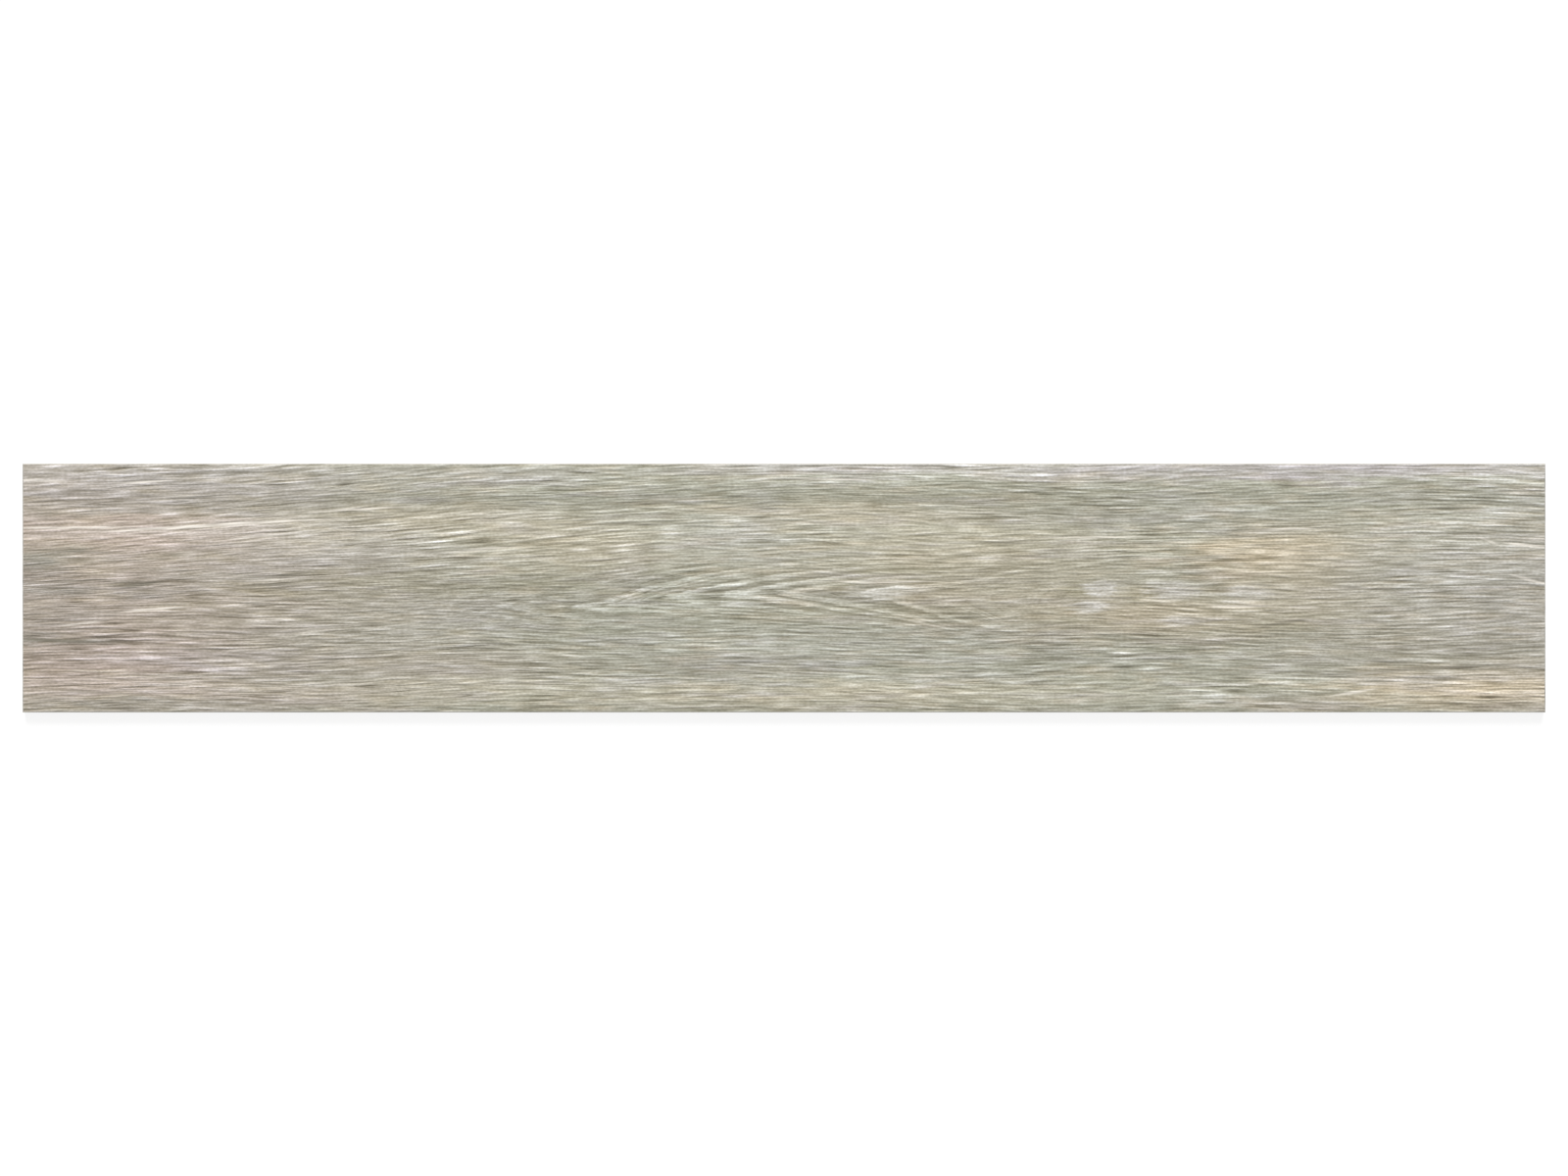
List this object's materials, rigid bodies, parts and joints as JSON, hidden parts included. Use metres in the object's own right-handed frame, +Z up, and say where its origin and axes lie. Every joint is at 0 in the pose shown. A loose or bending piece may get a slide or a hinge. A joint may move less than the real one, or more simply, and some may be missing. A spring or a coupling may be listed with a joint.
{
  "type": "wood look porcelain plank tile",
  "caption": "Long thin porcelain floor tile with a matt oak-grain face, ground chamfered edges and a pocketed keyed back for mortar.",
  "frame": {"origin": "centre of the plane that the back's ribs stand on, so the tile lies on a level floor face up", "axes": "+X along the plank and its grain, +Y across it, +Z up out of the grained face"},
  "size_m": [1.2, 0.196, 0.0095],
  "materials": {
    "porcelain": "matte"
  },
  "bodies": {
    "root": {"plank_tile": "porcelain"}
  },
  "joints": []
}
